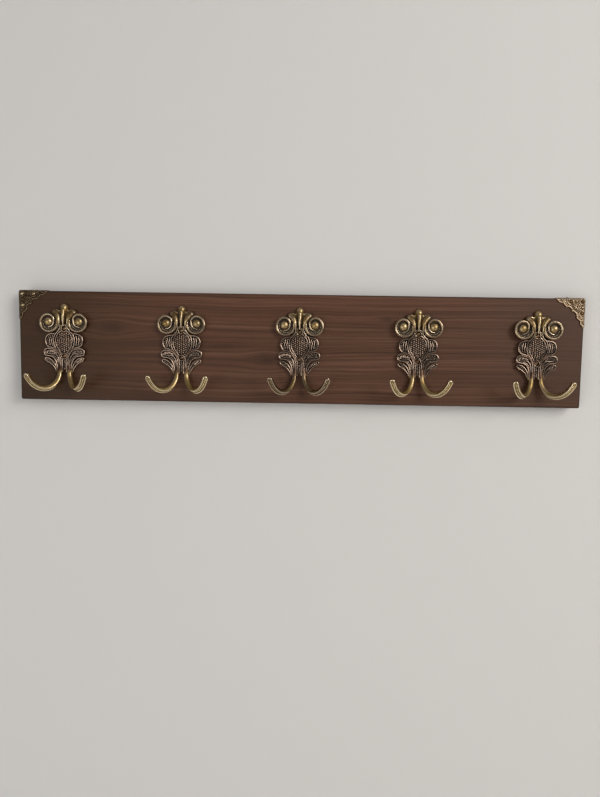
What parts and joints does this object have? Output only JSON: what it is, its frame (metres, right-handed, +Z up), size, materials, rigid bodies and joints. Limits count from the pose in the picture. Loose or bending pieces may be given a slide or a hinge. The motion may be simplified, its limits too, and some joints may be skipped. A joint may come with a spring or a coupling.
{
  "type": "wall hook rack",
  "caption": "Stained wooden board with a row of ornate cast double coat hooks, stamped corner plates, and keyhole hangers let into its back.",
  "frame": {"origin": "centre of the board's back face, which lies on the wall", "axes": "+X along the board to the right as seen from the front, +Y into the wall, +Z up"},
  "size_m": [0.6216, 0.0488, 0.1217],
  "materials": {
    "board": "dark walnut stain on pine, satin",
    "hook": "antique brass plating on cast zinc, rubbed on the high spots",
    "hook_screw": "bronzed steel",
    "corner_plate": "dark bronze plating on stamped sheet",
    "nail": "bronzed steel, polished on top",
    "hanger": "zinc-plated sheet steel",
    "hanger_screw": "zinc-plated steel"
  },
  "bodies": {
    "root": {"board": "board", "hook_1": "hook", "hook_1_upper_screw": "hook_screw", "hook_1_lower_screw": "hook_screw", "hook_2": "hook", "hook_2_upper_screw": "hook_screw", "hook_2_lower_screw": "hook_screw", "hook_3": "hook", "hook_3_upper_screw": "hook_screw", "hook_3_lower_screw": "hook_screw", "hook_4": "hook", "hook_4_upper_screw": "hook_screw", "hook_4_lower_screw": "hook_screw", "hook_5": "hook", "hook_5_upper_screw": "hook_screw", "hook_5_lower_screw": "hook_screw", "left_corner_plate": "corner_plate", "left_plate_corner_nail": "nail", "left_plate_inner_nail": "nail", "left_plate_lower_nail": "nail", "left_plate_top_nail": "nail", "left_keyhole_hanger": "hanger", "left_hanger_upper_screw": "hanger_screw", "left_hanger_lower_screw": "hanger_screw", "right_corner_plate": "corner_plate", "right_plate_corner_nail": "nail", "right_plate_inner_nail": "nail", "right_plate_lower_nail": "nail", "right_plate_top_nail": "nail", "right_keyhole_hanger": "hanger", "right_hanger_upper_screw": "hanger_screw", "right_hanger_lower_screw": "hanger_screw"}
  },
  "joints": []
}
